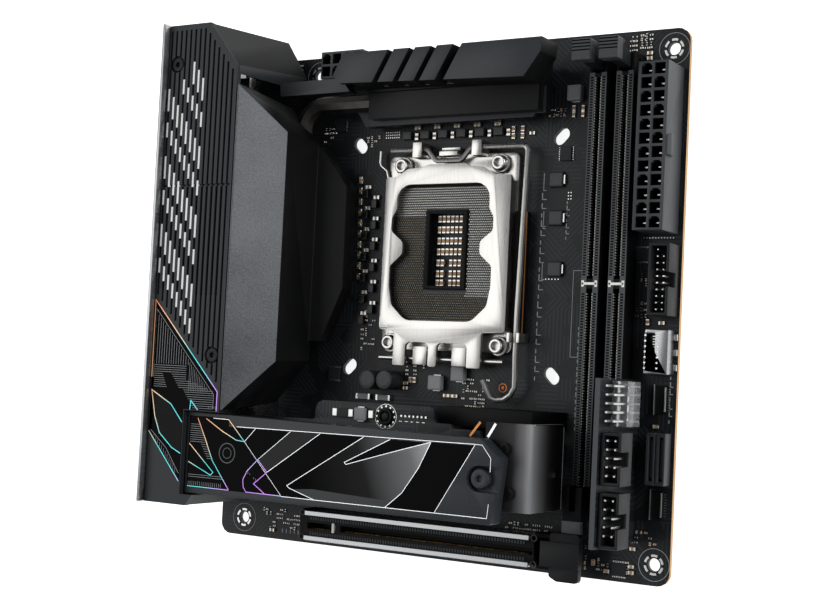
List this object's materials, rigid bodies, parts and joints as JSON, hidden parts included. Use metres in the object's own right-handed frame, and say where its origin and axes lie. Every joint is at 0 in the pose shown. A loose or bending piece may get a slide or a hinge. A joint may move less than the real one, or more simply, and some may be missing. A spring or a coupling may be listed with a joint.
{
  "type": "motherboard",
  "caption": "Small square computer motherboard with an open processor socket, memory and card slots, dark heatsinks, a ribbed rear cover and rear ports.",
  "frame": {"origin": "centre of the footprint of the whole assembly, at its lowest faces (the underside of the socket backplate and the lower edge of the rear shield)", "axes": "+X from the rear ports to the front edge of the board, +Y towards the processor power connector, +Z out of the component side"},
  "size_m": [0.182, 0.1762, 0.0468],
  "materials": {
    "solder_mask": "matt black solder mask over glass fibre board",
    "black_nylon": "moulded black nylon",
    "grey_nylon": "moulded dark grey nylon",
    "clear_plastic": "clear moulded plastic",
    "nickel_steel": "bright nickel-plated pressed steel",
    "stainless_steel": "stainless steel sheet and screws",
    "black_aluminium": "dark anodised, bead-blasted aluminium",
    "painted_cover": "dark slate satin paint",
    "dark_chrome": "dark polished nickel",
    "heat_pipe_metal": "nickel-plated copper",
    "thermal_pad": "soft grey silicone pad",
    "chip_package": "black epoxy package",
    "gold_plated_brass": "gold-plated brass"
  },
  "bodies": {
    "board": {"circuit_board": "solder_mask", "header_card": "solder_mask", "m2_riser_card": "solder_mask", "cpu_socket": "black_nylon", "dimm_slot_1": "black_nylon", "dimm_slot_2": "black_nylon", "pcie_slot": "black_nylon", "atx_power_connector": "black_nylon", "cpu_power_connector": "black_nylon", "usb3_header": "black_nylon", "sata_connector_1": "black_nylon", "sata_connector_2": "black_nylon", "vrm_fan_frame": "black_nylon", "m2_connector": "black_nylon", "audio_jack_block": "black_nylon", "button_housing": "black_nylon", "box_header_1": "grey_nylon", "box_header_2": "grey_nylon", "panel_header": "clear_plastic", "socket_frame": "nickel_steel", "hinge_rod": "stainless_steel", "socket_backplate": "stainless_steel", "socket_screw_1": "stainless_steel", "socket_screw_2": "stainless_steel", "socket_screw_3": "stainless_steel", "socket_screw_4": "stainless_steel", "pcie_slot_armour": "stainless_steel", "usb_c_header": "stainless_steel", "io_cover_screw_1": "stainless_steel", "io_cover_screw_2": "stainless_steel", "coin_cell": "stainless_steel", "io_shield": "stainless_steel", "hdmi_port": "stainless_steel", "usb_a_stack_1": "stainless_steel", "usb_a_stack_2": "stainless_steel", "lan_usb_stack": "stainless_steel", "usb_c_stack": "stainless_steel", "wireless_module": "stainless_steel", "top_heatsink": "black_aluminium", "vrm_heatsink": "black_aluminium", "chipset_heatsink": "black_aluminium", "io_cover": "painted_cover", "m2_heat_plate": "dark_chrome", "heat_pipe": "heat_pipe_metal", "top_thermal_pad": "thermal_pad", "vrm_thermal_pad": "thermal_pad", "chipset": "chip_package", "m2_standoff": "gold_plated_brass", "antenna_jack_1": "gold_plated_brass", "antenna_jack_2": "gold_plated_brass"},
    "load_lever": {"load_lever": "nickel_steel"},
    "load_plate": {"load_plate": "nickel_steel"},
    "dimm_latch_1": {"dimm_latch_1": "grey_nylon"},
    "dimm_latch_2": {"dimm_latch_2": "grey_nylon"},
    "pcie_latch": {"pcie_latch": "grey_nylon"},
    "fan_impeller": {"vrm_fan_impeller": "grey_nylon"},
    "m2_cover": {"m2_cover": "black_aluminium"},
    "m2_cover_screw": {"m2_cover_screw": "stainless_steel"},
    "flash_button": {"flash_button": "grey_nylon"},
    "clear_button": {"clear_button": "grey_nylon"}
  },
  "joints": [
    {"name": "load_lever_hinge", "type": "hinge", "parent": "board", "child": "load_lever", "pos_m": [0.01095, 0.0476, 0.0094], "axis": [-1, 0, 0], "range_deg": [0, 120]},
    {"name": "load_plate_hinge", "type": "hinge", "parent": "board", "child": "load_plate", "pos_m": [0.01095, -0.0221, 0.0084], "axis": [1, 0, 0], "range_deg": [0, 105]},
    {"name": "dimm_latch_1_hinge", "type": "hinge", "parent": "board", "child": "dimm_latch_1", "pos_m": [0.06475, 0.0718, 0.0086], "axis": [-1, 0, 0], "range_deg": [0, 30]},
    {"name": "dimm_latch_2_hinge", "type": "hinge", "parent": "board", "child": "dimm_latch_2", "pos_m": [0.07365, 0.0718, 0.0086], "axis": [-1, 0, 0], "range_deg": [0, 30]},
    {"name": "pcie_latch_hinge", "type": "hinge", "parent": "board", "child": "pcie_latch", "pos_m": [0.05416, -0.08, 0.0086], "axis": [0, 1, 0], "range_deg": [0, 15], "stiffness_Nm_per_rad": 0.02, "springref_deg": -5.73},
    {"name": "fan_spin", "type": "hinge", "parent": "board", "child": "fan_impeller", "pos_m": [-0.06704, 0.0166, 0.0394], "axis": [0, 0, 1], "continuous": true},
    {"name": "m2_cover_lift", "type": "slide", "parent": "board", "child": "m2_cover", "axis": [0, 0, 1], "range_m": [0, 0.04]},
    {"name": "m2_cover_screw_turn", "type": "hinge", "parent": "m2_cover", "child": "m2_cover_screw", "pos_m": [0.04485, -0.0571, 0.0404], "axis": [0, 0, 1], "continuous": true},
    {"name": "flash_button_press", "type": "slide", "parent": "board", "child": "flash_button", "axis": [1, 0, 0], "range_m": [0, 0.0005], "stiffness_N_per_m": 300, "springref_m": -0.0005},
    {"name": "clear_button_press", "type": "slide", "parent": "board", "child": "clear_button", "axis": [1, 0, 0], "range_m": [0, 0.0005], "stiffness_N_per_m": 300, "springref_m": -0.0005}
  ]
}
